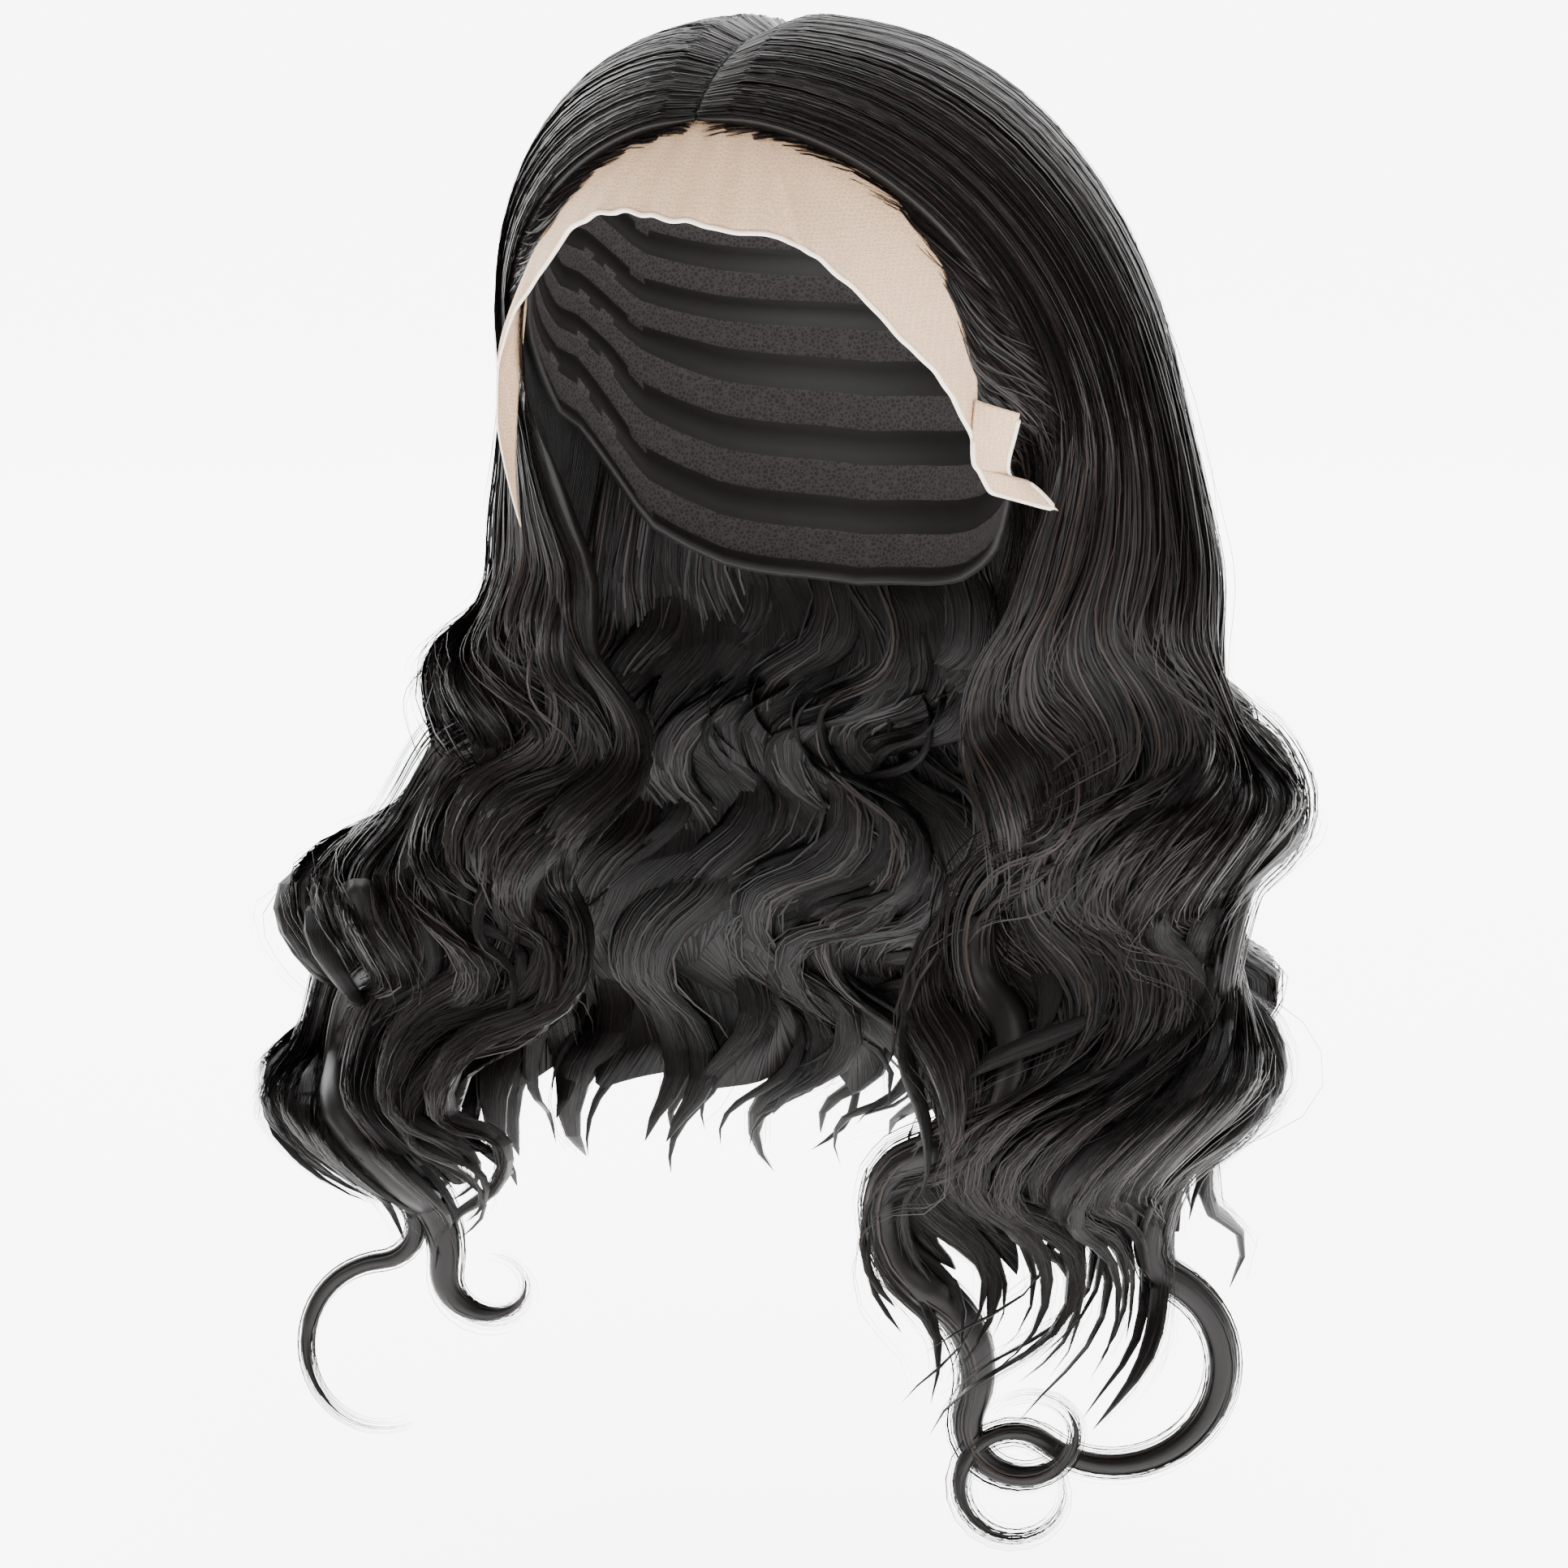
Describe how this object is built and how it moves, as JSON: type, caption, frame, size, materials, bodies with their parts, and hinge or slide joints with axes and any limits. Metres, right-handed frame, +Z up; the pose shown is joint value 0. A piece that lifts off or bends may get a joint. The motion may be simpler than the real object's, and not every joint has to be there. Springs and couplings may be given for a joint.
{
  "type": "lace front wig",
  "caption": "Long black body-wave wig on a hollow cap, parted on top, with a sheer lace front, ear tab and ring-curled tips.",
  "frame": {"origin": "the inside top of the cap, where the wig rests on the crown of the head", "axes": "+Z up, the lace front towards -Y, the wearer's left towards +X"},
  "size_m": [0.3674, 0.2249, 0.509],
  "materials": {
    "black_hair": "soft satin hair fibre",
    "cap_net": "matt knitted net",
    "sheer_lace": "matt sheer lace"
  },
  "bodies": {
    "root": {"cap": "cap_net", "lace_front": "sheer_lace", "hair_left": "black_hair", "hair_right": "black_hair", "hair_back": "black_hair"}
  },
  "joints": []
}
